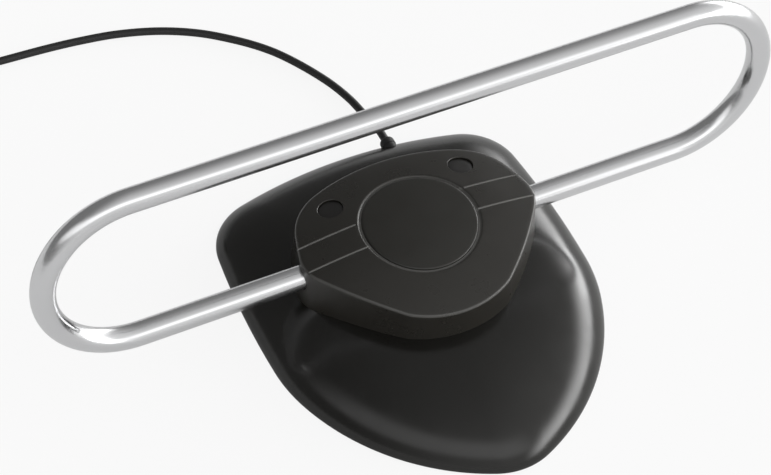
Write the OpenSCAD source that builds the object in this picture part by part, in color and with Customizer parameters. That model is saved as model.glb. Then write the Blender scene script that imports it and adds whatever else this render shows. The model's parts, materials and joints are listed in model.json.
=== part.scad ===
// Indoor television antenna: an upright metal loop in a moulded head, on a low weighted base.
// Millimetres. X runs along the loop, -Y is the nose (front) and Z is up from the table.

/* [Base] */
// Length of the base from nose to rear edge
base_l = 171; // [150:1:200]
// Width of the base across its waist
base_w = 143; // [130:1:170]
// Height of the base's crown above the table
base_top = 22; // [20:0.5:23]
// Height of the cover's rim above the table
rim_z = 0.8; // [0.6:0.1:1.2]
// Radius of the rear corners
base_corner_r = 25; // [20:1:32]
// How far a rear corner's centre lies inside the widest point
base_corner_in = 27; // [24:1:34]
// Radius of the bowed rear edge
base_rear_r = 204; // [160:1:300]
// Radius of the waist
base_waist_r = 70.5; // [60:0.5:78]
// How far the waist lies in front of the middle
base_waist_y = 0.5; // [0:0.5:6]
// Radius of the nose
base_nose_r = 30; // [24:1:36]
// How far the bowed sides behind the waist turn, in degrees
base_side_turn = 9.3; // [4:0.1:14]
// How far the bowed flanks before the waist turn, in degrees
base_flank_turn = 48.4; // [36:0.1:52]
// Fullness of the shoulder: higher is flatter on top
shoulder_n = 4; // [3:0.1:5]
// Steepness of the shoulder at the rim
shoulder_m = 1.5; // [1.4:0.1:1.8]
// Wall of the cover at its rim
cover_wall = 3; // [2.6:0.1:3.6]
// Wall of the cover at its crown
cover_roof = 2.4; // [2:0.1:3]
// Height of the upright lip inside the cover
lip_h = 2.2; // [1.8:0.1:3]

/* [Base plate] */
// Thickness of the base plate
plate_t = 1.6; // [1.4:0.1:2]
// Underside of the base plate above the table
plate_z = 1; // [0.8:0.1:1.4]
// Gap round the base plate
plate_gap = 0.3; // [0.2:0.05:0.5]
// Diameter of a foot
foot_d = 10; // [8:0.5:12]
// Depth of a foot's seat in the base plate
foot_seat = 0.6; // [0.4:0.1:0.8]
// Gap round a foot in its seat
foot_gap = 0.1; // [0.05:0.05:0.2]
// Distance of the rear feet from the base's sides
foot_rear_side = 27.5; // [24:0.5:34]
// Distance of the front feet from the base's sides
foot_front_side = 49.5; // [46:0.5:54]
// Distance of the rear feet from the rear edge
foot_rear_in = 33; // [28:1:40]
// Distance of the front feet from the nose
foot_front_in = 25; // [22:1:34]
// Thickness of the ballast plate
ballast_t = 5; // [3:0.5:6]
// Half width of the ballast plate at its rear
ballast_rear_x = 40; // [34:1:46]
// Half width of the ballast plate at its front
ballast_front_x = 22; // [18:1:26]
// Length of the ballast plate
ballast_l = 56; // [44:1:60]
// Distance of the ballast plate from the nose
ballast_in = 17; // [15:1:24]
// Corner radius of the ballast plate
ballast_r = 8; // [5:1:12]
// Diameter of the pegs that locate the ballast plate
peg_d = 4; // [3:0.5:5]

/* [Head] */
// Distance of the loop's lower run from the middle of the base
loop_y = 16.4; // [10:0.2:22]
// Height of the loop's lower run above the table
loop_z = 29; // [28:0.5:34]
// Width of the head across its corners
head_w = 103; // [96:1:116]
// Distance from the loop's lower run back to the head's rear edge
head_rear = 37; // [33:0.5:44]
// Distance from the loop's lower run forward to the head's nose
head_front = 45; // [40:0.5:52]
// Radius of the head's side corners
head_corner_r = 16; // [12:0.5:20]
// Radius of the head's rear corners
head_shoulder_r = 28; // [22:1:32]
// Distance between the centres of a rear corner and a side corner
head_shoulder_in = 14.3; // [10:0.1:18]
// Radius of the head's nose corners
head_nose_r = 15.5; // [12:0.5:20]
// Distance of a nose corner's centre from the centre line
head_nose_x = 13.4; // [8:0.2:16]
// Radius of the bowed rear edge
head_rear_r = 88; // [75:1:140]
// Radius of the bowed nose edge
head_front_r = 44.5; // [38:0.5:60]
// How far the bowed side turns, in degrees
head_side_turn = 2.1; // [1:0.1:4]
// How far the bowed flank turns, in degrees
head_flank_turn = 15.5; // [8:0.1:20]
// Height of the head's crown above the loop's lower run
crown_h = 13.8; // [13:0.1:17]
// Radius of the crown from side to side
crown_rx = 263; // [200:1:400]
// Radius of the crown from front to rear
crown_ry = 115; // [105:1:200]
// Bevel round the head's top edge
bevel = 0.9; // [0.5:0.1:1.4]
// How far the head's foot stands out beyond its top edge
flare = 1.2; // [0.6:0.1:2]
// Wall of the head cover
head_wall = 2.2; // [1.8:0.1:2.8]
// Height of the seat that the head stands on
seat_z = 12.5; // [11:0.5:13]
// Gap between the head's foot and its pocket in the base
seat_gap = 0.25; // [0.15:0.05:0.4]
// Width of the fine grooves over the tube
groove_w = 0.9; // [0.6:0.1:1.2]
// Distance between the two grooves of a side
groove_pitch = 12.4; // [11:0.1:15]
// How far the pair of grooves lies behind the lower run
groove_y = 0.8; // [0:0.1:2]
// Gap between the tube and the head's side walls
tube_gap = 0.25; // [0.15:0.05:0.4]

/* [Badge disc] */
// Diameter of the bare disc
disc_d = 47.2; // [42:0.2:50]
// Width of the floor of the shallow ring round the disc
ring_w = 0.8; // [0.6:0.1:1.4]
// Depth of the shallow ring below the crown
ring_d = 0.8; // [0.6:0.1:1]
// Gap round the disc in its seat
disc_gap = 0.1; // [0.05:0.05:0.2]
// Chamfer of the disc's edge
disc_edge = 0.6; // [0.4:0.1:0.8]
// How far the disc's centre lies in front of the lower run
disc_y = 1.8; // [0:0.1:4]
// Depth of the disc's seat below the crown
disc_seat = 4.4; // [4.2:0.1:5]

/* [Loop] */
// Outer diameter of the tube
tube_d = 10; // [8:0.5:12]
// Wall of the tube
tube_wall = 1; // [0.8:0.1:1.5]
// Half the length of the straight runs
run_half = 120; // [90:1:160]
// Radius of the end bends at the tube's centre line
bend_r = 37; // [30:0.5:45]
// Lean of the loop behind the upright, in degrees
lean = 5.3; // [0:0.1:8]
// Gap between the tube's two ends inside the head
end_gap = 6; // [4:0.5:10]
// Length of each spigot of the insulating joiner
spigot_l = 10; // [6:0.5:14]
// Gap between a spigot and the tube's bore
spigot_gap = 0.05; // [0.03:0.01:0.1]

/* [Screws] */
// Diameter of a screw's shank
screw_d = 2.8; // [2.5:0.1:3.2]
// Diameter of a screw's head
screw_head_d = 5.4; // [5:0.1:6]
// Height of a screw's head
screw_head_h = 1.5; // [1.2:0.1:1.8]
// Gap round a screw's head in its well
screw_gap = 0.4; // [0.2:0.1:0.6]
// Wall round the screw bosses
boss_wall = 1.6; // [1.2:0.1:2]
// Distance of the head screws from the centre line
head_screw_x = 29.4; // [26:0.2:32]
// Distance of the head screws behind the lower run
head_screw_y = 20.2; // [17:0.2:22]
// Length of a head screw's shank
head_screw_l = 12; // [9:0.5:13]
// Length of a base screw's shank
base_screw_l = 6; // [4:0.5:7]
// Distance of the rear base screws from the centre line
base_screw_rear_x = 42; // [38:1:44]
// Distance of the rear base screws behind the lower run
base_screw_rear_y = 18; // [12:1:22]
// Distance of the front base screws from the centre line
base_screw_front_x = 30; // [26:1:32]
// Distance of the front base screws before the lower run
base_screw_front_y = 20; // [16:1:22]
// Diameter of a screw plug
plug_cap_d = 10.3; // [9:0.1:11]
// Thickness of a screw plug
plug_cap_t = 1.8; // [1.4:0.1:2.2]
// How far a screw plug lies below the crown
plug_cap_sunk = 0.8; // [0.6:0.05:1]
// Gap round a screw plug
plug_cap_gap = 0.1; // [0.05:0.05:0.2]

/* [Cradle and board] */
// Thickness of the cradle's floor
cradle_t = 2; // [1.6:0.1:2.4]
// Gap between the cradle's floor and the head cover's walls
cradle_gap = 0.3; // [0.2:0.1:0.6]
// Distance of a saddle's middle from the centre line
saddle_x = 34; // [30:1:38]
// Thickness of a saddle
saddle_t = 5; // [3:0.5:7]
// Width of a saddle from front to rear
saddle_w = 18; // [16:0.5:22]
// Gap between the tube and the saddles
saddle_gap = 0.03; // [0.02:0.01:0.1]
// Height of the posts under the circuit board
post_h = 3; // [2:0.5:3.5]
// Thickness of the circuit board
board_t = 1.6; // [1:0.1:1.6]
// Length of the circuit board along the loop
board_l = 42; // [34:1:48]
// Width of the circuit board
board_w = 30; // [24:1:32]
// How far the board reaches behind the lower run
board_rear = 9; // [8:0.5:11]
// Length of the ferrite core
core_l = 13; // [10:0.5:16]
// Width of the ferrite core
core_w = 8; // [6:0.5:9]
// Height of the ferrite core
core_h = 6.5; // [5:0.5:8]
// Diameter of the two holes through the core
core_hole_d = 2.6; // [2:0.1:3]
// Thickness of the contact clips' strip
clip_t = 0.6; // [0.4:0.1:0.8]
// Width of the contact clips
clip_w = 6; // [4:0.5:8]
// Distance of a clip from the centre line
clip_x = 12; // [10:0.5:15]

/* [Lead] */
// Diameter of the lead
lead_d = 3.5; // [3:0.1:4]
// Height of the strain relief's axis above the table
relief_z = 6.4; // [6.2:0.1:7]
// Length of the relief's rounded collar from inside the wall to its end
boot_l = 7; // [6:0.5:10]
// Diameter of the relief's collar
boot_d = 6.4; // [6:0.1:7]
// Distance of the relief's flange from the base's rear edge
relief_in = 9.5; // [8:0.5:12]
// Diameter of the relief's inner flange
flange_d = 7.4; // [7:0.1:7.6]
// Gap round the relief's inner flange
relief_gap = 0.15; // [0.1:0.05:0.3]
// Thickness of the relief's inner flange
flange_t = 1.6; // [1.2:0.1:2]
// Mean diameter of the coil
coil_d = 42; // [38:1:44]
// Width of the coil's bundle of turns
bundle_w = 10.6; // [7:0.1:14]
// Height of the coil's bundle of turns
bundle_h = 10.6; // [7:0.1:14]
// Thickness of the tie round the coil
tie_t = 0.6; // [0.4:0.1:0.8]
// Slack of the tie at each side of the bundle
tie_slack = 0.2; // [0.15:0.05:0.4]
// Width of the tie
tie_w = 5; // [4:0.5:8]
// Diameter of the plug's body
plug_d = 12; // [10.5:0.5:14]
// Length of the plug's body
plug_l = 24; // [18:1:30]
// Outer diameter of the plug's sleeve
sleeve_d = 9.5; // [9:0.1:10]
// Inner diameter of the plug's sleeve
sleeve_bore = 8; // [7.6:0.1:8.4]
// Length of the plug's sleeve outside its body
sleeve_l = 9; // [8:0.5:12]
// Width of the collar that holds the sleeve in the plug's body
sleeve_collar = 0.5; // [0.3:0.1:0.8]
// Diameter of the plug's pin
pin_d = 2.4; // [2:0.1:2.6]

/* [Hidden] */

$fn = 64;
arc_steps = 5; // points on each arc of an outline
eps = 0.01; // overlap that keeps joined solids whole
lead_r = lead_d / 2;
tube_r = tube_d / 2;

// Arcs: points after the first, on a circle about c from angle a0 to angle a1
function arc_points(c, r, a0, a1) =
  [for (i = [1 : arc_steps]) let (a = a0 + (a1 - a0) * i / arc_steps) c + r * [cos(a), sin(a)]];
function bearing(v) = atan2(v[1], v[0]);
// Radius of the arc that turns by t between circles (ca, ra) and (cb, rb), tangent inside it
function link_radius(ca, ra, cb, rb, t) =
  let (k = (pow(norm(cb - ca), 2) - pow(ra - rb, 2)) / (2 * (1 - cos(t))))
  (ra + rb) / 2 + sqrt(pow((ra - rb) / 2, 2) + k);
// Centre of the arc of radius r that holds circles (ca, ra) and (cb, rb) tangent inside it
function link_centre(ca, ra, cb, rb, r) =
  let (d = norm(cb - ca), p = r - ra, q = r - rb, a = (d * d + p * p - q * q) / (2 * d),
       h = sqrt(max(p * p - a * a, 0)), u = (cb - ca) / d)
  ca + a * u + h * [u[1], -u[0]];

// Shield: clockwise outline of tangent arcs, the same on both sides of the Y axis.
// c holds the corner circles [x, y, r] from rear to nose, turns how far the bowed edges between them turn.
function shield_half(c, turns, rear_r, nose_r) =
  let (m = len(c) - 1,
       p = [for (q = c) [q[0], q[1]]],
       links = [for (i = [0 : m - 1]) link_radius(p[i], c[i][2], p[i + 1], c[i + 1][2], turns[i])],
       on_axis = p[m][0] == 0,
       rear = [0, p[0][1] - sqrt(max(pow(rear_r - c[0][2], 2) - pow(p[0][0], 2), 0))],
       nose = [0, p[m][1] + sqrt(max(pow(nose_r - c[m][2], 2) - pow(p[m][0], 2), 0))],
       mids = [for (i = [0 : m - 1]) link_centre(p[i], c[i][2], p[i + 1], c[i + 1][2], links[i])],
       start = [for (i = [0 : m]) i == 0 ? bearing(p[0] - rear) : bearing(p[i] - mids[i - 1])],
       stop = [for (i = [0 : m]) i < m ? bearing(p[i] - mids[i]) : on_axis ? -90 : bearing(p[m] - nose)])
  concat([rear + [0, rear_r]], arc_points(rear, rear_r, 90, start[0]),
    [for (i = [0 : m]) each concat(arc_points(p[i], c[i][2], start[i], stop[i]),
      i < m ? arc_points(mids[i], links[i], stop[i], start[i + 1]) : [])],
    on_axis ? [] : arc_points(nose, nose_r, stop[m], -90));
function mirrored(half) =
  concat(half, [for (i = [len(half) - 2 : -1 : 1]) [-half[i][0], half[i][1]]]);
// Outline moved inwards by d along its own normals
function inset(o, d) =
  let (n = len(o))
  [for (i = [0 : n - 1]) let (t = o[(i + 1) % n] - o[(i + n - 1) % n]) o[i] + d * [t[1], -t[0]] / norm(t)];
function scaled(o, c, s) = [for (q = o) c + s * (q - c)];

// Base outline
base_corner_x = base_w / 2 - base_corner_in;
base_corner_y = base_l / 2 - base_rear_r
  + sqrt(pow(base_rear_r - base_corner_r, 2) - pow(base_corner_x, 2));
base_outline = mirrored(shield_half(
  [[base_corner_x, base_corner_y, base_corner_r],
   [base_w / 2 - base_waist_r, -base_waist_y, base_waist_r],
   [0, base_nose_r - base_l / 2, base_nose_r]],
  [base_side_turn, base_flank_turn], base_rear_r, base_nose_r));
dome_steps = [1, 0.995, 0.98, 0.955, 0.92, 0.87, 0.8, 0.7, 0.56, 0.38, 0.18];
hollow_steps = [1, 0.985, 0.94, 0.87, 0.76, 0.6, 0.35];
dome_z = rim_z + 0.5; // the shoulder starts a little above the rim
function shoulder(s) = pow(1 - pow(s, shoulder_n), 1 / shoulder_m);

// Head outline, and the crown's height over it
head_corner = [head_w / 2 - head_corner_r, loop_y - 1.1];
head_shoulder_x = head_corner[0] - head_shoulder_in;
head_shoulder_y = loop_y + head_rear - head_rear_r
  + sqrt(pow(head_rear_r - head_shoulder_r, 2) - pow(head_shoulder_x, 2));
head_nose_y = loop_y - head_front + head_front_r
  - sqrt(pow(head_front_r - head_nose_r, 2) - pow(head_nose_x, 2));
head_outline = mirrored(shield_half(
  [[head_shoulder_x, head_shoulder_y, head_shoulder_r],
   [head_corner[0], head_corner[1], head_corner_r],
   [head_nose_x, head_nose_y, head_nose_r]],
  [head_side_turn, head_flank_turn], head_rear_r, head_front_r));
disc_c = [0, loop_y - disc_y];
crown_z = loop_z + crown_h;
function crown(q) =
  crown_z - pow(q[0], 2) / (2 * crown_rx) - pow(q[1] - disc_c[1], 2) / (2 * crown_ry);
// Points round the disc's centre at radius r
function ring_at(r) = [for (i = [72 : -1 : 1]) disc_c + r * [cos(5 * i), sin(5 * i)]];
head_foot = inset(head_outline, -flare);
skirt_z = base_top - 3.5; // the head's wall is upright up to here
wall_steps = [0.25, 0.5, 0.75, 1];
crown_steps = [0.86, 0.7, 0.52, 0.34, 0.16];

// Levels inside the base and the head
plate_top = plate_z + plate_t;
deck_t = 2.6;
deck_z = seat_z - deck_t;
cup_h = screw_head_h + 0.5;
cup_top = plate_z + cup_h + plate_t;
cradle_top = seat_z + cradle_t;
board_z = cradle_top + post_h;
board_top = board_z + board_t;
well_d = screw_head_d + 2 * screw_gap;
screw_floor = cradle_top + 2.5; // a head screw's head sits on this
base_screw_places = [for (s = [-1, 1]) each [
  [s * base_screw_rear_x, loop_y + base_screw_rear_y],
  [s * base_screw_front_x, loop_y - base_screw_front_y]]];
head_screw_places = [for (s = [-1, 1]) [s * head_screw_x, loop_y + head_screw_y]];
foot_rear_y = base_l / 2 - foot_rear_in;
foot_front_y = foot_front_in - base_l / 2;
foot_rear_x = base_w / 2 - foot_rear_side;
foot_front_x = base_w / 2 - foot_front_side;
foot_places = [for (s = [-1, 1]) each [[s * foot_front_x, foot_front_y], [s * foot_rear_x, foot_rear_y]]];
ballast_front_y = ballast_in - base_l / 2;
peg_places = [for (s = [-1, 1]) [s * (ballast_front_x - 4), ballast_front_y + ballast_l / 3]];

// Lead: its route outside the base, from the strain relief's tip to the coil
relief_x = 20.4;
wall_y = base_l / 2 - relief_in; // the relief's flange bears on a block here, inside the rear wall
boot_y = base_l / 2 - 4; // the collar starts here
relief_tip = boot_y + boot_l;
coil_c = [-160, 176];
coil_z = tie_t; // the tie passes under the turns
route = [[relief_x, relief_tip, relief_z], [relief_x, relief_tip + 1, relief_z],
  [relief_x, relief_tip + 2, relief_z], [20.3, 94, 5.9], [20, 98, 4.9], [19.6, 103, 3.8],
  [19.2, 108, 2.8], [18.4, 114.5, 2.1], [16.6, 121.5, 1.8],
  [14, 128.5, 1.8], [10.2, 136.5, 1.8], [5.2, 145.5, 1.8], [-0.8, 154.5, 1.8], [-8, 162.6, 1.8],
  [-16, 169.8, 1.8], [-24.5, 176.4, 1.8], [-33.5, 181.8, 1.8], [-43, 186.2, 1.8], [-53, 189.6, 1.8],
  [-63.5, 192.2, 1.8], [-74, 193.8, 1.8], [-85, 195, 1.8], [-97, 195.8, 1.8], [-109, 196.3, 1.8],
  [-120, 196.9, 1.8], [-129, 198, 1.9], [-137, 199.2, 2.1], [-145.5, 199.8, 2.2]];
tail = [[-184.8, 163, 8.2], [-184.9, 157, 7.4], [-185, 151, 6.6], [-185, 145, 6.1], [-185, 142, 6],
  [-185, 140, 6], [-185, 138, 6]];
plug_c = [-185, 138, 6];
sleeve_root = 4; // the collar's length, up to the body's face
inner_route = [[7, 22, board_z], [7, 22, board_z - 1], [7, 22, board_z - 2], [7.4, 23.5, board_z - 5],
  [9, 28, board_z - 9], [12, 36, relief_z + 0.5], [15.5, 46, relief_z], [18.6, 56, relief_z],
  [20, 64, relief_z], [relief_x, 70, relief_z], [relief_x, 72, relief_z],
  [relief_x, wall_y - flange_t, relief_z]];

// Solid lofted through rings of points, closed by a flat floor and a tip
module loft(rings, tip) {
  n = len(rings[0]);
  last = len(rings) - 1;
  polyhedron(
    points = concat([for (r = rings) each r], [tip]),
    faces = concat([[for (i = [n - 1 : -1 : 0]) i]],
      [for (k = [0 : last - 1]) for (i = [0 : n - 1]) let (j = (i + 1) % n, a = k * n, b = a + n)
        each [[a + i, a + j, b + j], [a + i, b + j, b + i]]],
      [for (i = [0 : n - 1]) [last * n + i, last * n + (i + 1) % n, (last + 1) * n]]));
}
function at_z(o, z) = [for (q = o) [q[0], q[1], z]];

// Dome of the base: an outline drawn in towards the middle as it rises
module dome(o, steps, floor_z, spring_z, top_z) {
  loft(concat([at_z(o, floor_z)],
      [for (s = steps) at_z(scaled(o, [0, 0], s), spring_z + (top_z - spring_z) * shoulder(s))]),
    [0, 0, top_z]);
}

// Round cord swept along its own points: each ring lies square to the path
function unit(v) = v / norm(v);
function heading(p, i) = unit(p[min(i + 1, len(p) - 1)] - p[max(i - 1, 0)]);
function smooth(p) = [for (i = [0 : len(p) - 2]) let (a = p[max(i - 1, 0)], b = p[i], c = p[i + 1],
  d = p[min(i + 2, len(p) - 1)]) each [b, (9 * (b + c) - a - d) / 16]];
function cord_path(p) = concat(smooth(p), [p[len(p) - 1]]);
module cord(points, d, sides) {
  p = cord_path(points);
  n = len(p);
  skin([for (i = [0 : n - 1]) let (t = heading(p, i), e = unit(cross(t, [0, 0.01, 1])), f = cross(t, e))
    [for (k = [0 : sides - 1]) let (a = 360 * (k + 0.5) / sides) p[i] + d / 2 * (cos(a) * e + sin(a) * f)]]);
}
// Solid through rings of points with flat ends; each ring turns anticlockwise about the way it travels
module skin(rings) {
  n = len(rings);
  sides = len(rings[0]);
  polyhedron(points = [for (r = rings) each r],
    faces = concat([[for (k = [0 : sides - 1]) k]],
      [for (i = [0 : n - 2]) for (k = [0 : sides - 1]) let (m = (k + 1) % sides, a = i * sides, b = a + sides)
        each [[a + k, b + m, a + m], [a + k, b + k, b + m]]],
      [[for (k = [sides - 1 : -1 : 0]) (n - 1) * sides + k]]));
}

module at_places(places, z) {
  for (q = places) translate([q[0], q[1], z]) children();
}
// Stands its children square on the crown at q
module on_crown(q) {
  nx = q[0] / crown_rx;
  ny = (q[1] - disc_c[1]) / crown_ry;
  translate([q[0], q[1], crown(q)]) rotate([-atan2(ny, sqrt(1 + nx * nx)), atan(nx), 0]) children();
}
// Places its children on the tube's axis, turned along X
module along_tube(x) {
  translate([x, loop_y, loop_z]) rotate([0, 90, 0]) children();
}

module base_cover() {
  color([0.12, 0.115, 0.11]) difference() {
    dome(base_outline, dome_steps, rim_z, dome_z, base_top);
    difference() {
      dome(inset(base_outline, cover_wall), hollow_steps, rim_z - 1, rim_z + lip_h, base_top - cover_roof);
      translate([0, 0, deck_z]) linear_extrude(base_top) polygon(inset(head_foot, -3));
      at_places(base_screw_places, cup_top) cylinder(d = screw_d + 2 * boss_wall, h = deck_z - cup_top + 1);
      at_places(head_screw_places, plate_top + 1)
        cylinder(d = screw_d + 2 * boss_wall, h = deck_z - plate_top);
      translate([relief_x - boot_d, wall_y, plate_top + plate_gap]) cube([2 * boot_d, base_l, base_top]);
    }
    translate([0, 0, seat_z]) linear_extrude(base_top) polygon(inset(head_foot, -seat_gap));
    at_places(base_screw_places, cup_top - 1) cylinder(d = screw_d, h = base_screw_l);
    at_places(head_screw_places, plate_top) cylinder(d = screw_d, h = base_top);
    translate([2, loop_y, deck_z - 1]) cube([12, 20, deck_t + 2]);
    translate([relief_x, 0, relief_z]) rotate([-90, 0, 0]) cylinder(d = boot_d, h = base_l);
    translate([relief_x, wall_y, relief_z]) rotate([90, 0, 0])
      cylinder(d = flange_d + 2 * relief_gap, h = 14);
    translate([relief_x - boot_d / 2, 0, 0]) cube([boot_d, base_l, relief_z]);
  }
}

module base_plate() {
  color([0.1, 0.1, 0.1]) difference() {
    union() {
      translate([0, 0, plate_z]) linear_extrude(plate_t) polygon(inset(base_outline, cover_wall + plate_gap));
      at_places(base_screw_places, plate_z) cylinder(d = well_d + 2 * boss_wall, h = cup_top - plate_z);
      at_places(peg_places, plate_z) cylinder(d = peg_d, h = plate_t + ballast_t - 0.5);
    }
    at_places(base_screw_places, plate_z - 1) cylinder(d = well_d, h = cup_h + 1);
    at_places(base_screw_places, plate_z) cylinder(d = screw_d + 0.4, h = cup_top);
    at_places(foot_places, plate_z - 1) cylinder(d = foot_d + 2 * foot_gap, h = foot_seat + 1);
  }
}

module foot(x, y) {
  h = plate_z + foot_seat;
  color([0.2, 0.2, 0.2]) translate([x, y, 0]) {
    cylinder(d1 = foot_d - 1, d2 = foot_d, h = 0.5);
    translate([0, 0, 0.5]) cylinder(d = foot_d, h = h - 0.5);
  }
}

module ballast_plate() {
  rear_y = ballast_front_y + ballast_l;
  color([0.55, 0.56, 0.58]) difference() {
    translate([0, 0, plate_top]) linear_extrude(ballast_t) hull() {
      for (s = [-1, 1]) {
        translate([s * (ballast_rear_x - ballast_r), rear_y - ballast_r])
          circle(r = ballast_r, $fn = 32);
        translate([s * (ballast_front_x - ballast_r), ballast_front_y + ballast_r])
          circle(r = ballast_r, $fn = 32);
      }
    }
    at_places(peg_places, plate_z) cylinder(d = peg_d + 0.4, h = base_top);
    at_places(base_screw_places, plate_z) cylinder(d = well_d + 2 * boss_wall + 2, h = base_top);
  }
}

module screw(l) {
  cylinder(d = screw_d, h = l + eps);
  translate([0, 0, l]) difference() {
    cylinder(d = screw_head_d, h = screw_head_h);
    for (a = [0, 90]) rotate([0, 0, a]) translate([-1.5, -0.3, screw_head_h - 0.8]) cube([3, 0.6, 1]);
  }
}

module base_screws() {
  color([0.7, 0.7, 0.72]) at_places(base_screw_places, plate_z + cup_h) rotate([180, 0, 0])
    translate([0, 0, -base_screw_l]) screw(base_screw_l);
}

module head_cover() {
  color([0.13, 0.12, 0.11]) difference() {
    union() {
      difference() {
        head_solid();
        head_hollow();
      }
      crown_disc(disc_d / 2 + ring_w + boss_wall, crown_z - disc_seat - 2, 1, 0);
      for (q = head_screw_places) {
        translate([q[0], q[1], cradle_top])
          cylinder(d = well_d + 2 * boss_wall, h = crown(q) - cradle_top - 3);
        on_crown(q) translate([0, 0, -5]) cylinder(d = plug_cap_d + 2 * boss_wall, h = 4);
      }
    }
    along_tube(-head_w) cylinder(d = tube_d + 2 * tube_gap, h = 2 * head_w);
    translate([disc_c[0], disc_c[1], crown_z - disc_seat])
      cylinder(d = disc_d + 2 * disc_gap, h = disc_seat + 1);
    disc_ring();
    for (q = head_screw_places) {
      translate([q[0], q[1], screw_floor]) cylinder(d = well_d, h = crown_z);
      translate([q[0], q[1], seat_z]) cylinder(d = screw_d + 0.4, h = crown_z);
      on_crown(q) translate([0, 0, -plug_cap_t - plug_cap_sunk])
        cylinder(d = plug_cap_d + 2 * plug_cap_gap, h = plug_cap_t + 3);
    }
    for (s = [-1, 1]) for (g = [-1, 1]) groove(s, loop_y + groove_y + g * groove_pitch / 2);
  }
}
// Outer form of the head: upright skirt, flared wall, bevelled edge and crowned top
module head_solid() {
  rim = inset(head_outline, bevel);
  n = len(head_outline);
  loft(concat(
      [at_z(head_foot, seat_z), at_z(head_foot, skirt_z)],
      [for (t = wall_steps) [for (i = [0 : n - 1])
        let (q = head_foot[i] + (1 - pow(1 - t, 1.5)) * (head_outline[i] - head_foot[i]),
             z = skirt_z + t * (crown(head_outline[i]) - bevel - skirt_z)) [q[0], q[1], z]]],
      [[for (q = rim) [q[0], q[1], crown(q)]]],
      [for (s = crown_steps) [for (q = scaled(rim, disc_c, s)) [q[0], q[1], crown(q)]]]),
    [disc_c[0], disc_c[1], crown_z]);
}
module head_hollow() {
  low = inset(head_foot, head_wall);
  high = inset(head_outline, head_wall);
  loft(concat(
      [at_z(low, seat_z - 1), at_z(low, skirt_z)],
      [[for (q = high) [q[0], q[1], crown(q) - head_wall - bevel]]],
      [for (s = [0.9, 0.65, 0.35]) [for (q = scaled(high, disc_c, s)) [q[0], q[1], crown(q) - head_wall]]]),
    [disc_c[0], disc_c[1], crown_z - head_wall]);
}
// Round body under the crown at the disc: flat floor, and a top that lies drop below the crown
module crown_disc(r, floor_z, drop, edge) {
  loft(concat(
      [at_z(ring_at(r), floor_z)],
      [[for (q = ring_at(r)) [q[0], q[1], crown(q) - drop - edge]]],
      [for (s = [r - edge - eps, 0.8 * r, 0.55 * r, 0.3 * r])
        [for (q = ring_at(s)) [q[0], q[1], crown(q) - drop]]]),
    [disc_c[0], disc_c[1], crown_z - drop]);
}
// Cutter of the shallow ring: its floor follows the crown and its outer side slopes outwards
module disc_ring() {
  r = disc_d / 2 + ring_w;
  loft(concat(
      [at_z(ring_at(disc_d / 2 - 1), crown_z - disc_seat + 0.2)],
      [for (s = [disc_d / 2 - 0.5, r]) [for (q = ring_at(s)) [q[0], q[1], crown(q) - ring_d]]],
      [[for (q = ring_at(r + ring_d + 1)) [q[0], q[1], crown(q) + 1]]],
      [at_z(ring_at(r + ring_d + 1), crown_z + 3)]),
    [disc_c[0], disc_c[1], crown_z + 3]);
}
// One fine V groove that follows the crown from the disc's ring to the head's edge
module groove(side, y) {
  x0 = disc_d / 2 + ring_w;
  x1 = head_w / 2 + 1;
  w = groove_w / 2 + 1;
  d = groove_w / 2;
  skin([for (i = [0 : 8])
    let (t = side > 0 ? i / 8 : 1 - i / 8, x = side * (x0 + (x1 - x0) * t), z = crown([x, y]))
    [[x, y + w, z + 1], [x, y + w, z + 3], [x, y - w, z + 3], [x, y - w, z + 1], [x, y, z - d]]]);
}

module badge_disc() {
  color([0.17, 0.16, 0.15]) crown_disc(disc_d / 2, crown_z - disc_seat, 0, disc_edge);
}

module head_cradle() {
  color([0.75, 0.74, 0.7]) difference() {
    union() {
      intersection() {
        translate([-saddle_x - saddle_t, loop_y - board_w + board_rear - 2, seat_z])
          cube([2 * (saddle_x + saddle_t), board_w + 4, cradle_t]);
        translate([0, 0, seat_z]) linear_extrude(cradle_t) polygon(inset(head_foot, head_wall + cradle_gap));
      }
      for (q = head_screw_places) {
        translate([q[0], q[1], seat_z]) cylinder(d = well_d + 2 * boss_wall, h = cradle_t);
        translate([q[0] - 4, loop_y, seat_z]) cube([8, head_screw_y, cradle_t]);
      }
      for (s = [-1, 1]) translate([s * saddle_x - saddle_t / 2, loop_y - saddle_w / 2, seat_z])
        cube([saddle_t, saddle_w, loop_z - seat_z]);
      for (s = [-1, 1]) for (t = [3, board_w - 3])
        translate([s * (board_l / 2 - 3), loop_y + board_rear - t, seat_z])
          cylinder(d = 5, h = board_z - seat_z);
    }
    along_tube(-head_w) cylinder(r = tube_r + saddle_gap, h = 2 * head_w);
    at_places(head_screw_places, seat_z - 1) cylinder(d = screw_d + 0.4, h = cradle_t + 2);
    translate([2, loop_y, seat_z - 1]) cube([12, 16, cradle_t + 2]);
  }
}

module screw_plug(i) {
  color([0.12, 0.115, 0.11]) on_crown(head_screw_places[i]) translate([0, 0, -plug_cap_t - plug_cap_sunk]) {
    cylinder(d = plug_cap_d, h = plug_cap_t - 0.3);
    translate([0, 0, plug_cap_t - 0.3]) cylinder(d1 = plug_cap_d, d2 = plug_cap_d - 0.6, h = 0.3);
  }
}

module head_screw(i) {
  q = head_screw_places[i];
  color([0.7, 0.7, 0.72]) translate([q[0], q[1], screw_floor - head_screw_l]) screw(head_screw_l);
}

module antenna_loop() {
  color([0.8, 0.8, 0.82]) translate([0, loop_y, loop_z]) rotate([90 - lean, 0, 0]) {
    difference() {
      loop_form(tube_r);
      loop_form(tube_r - tube_wall);
    }
  }
}
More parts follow.
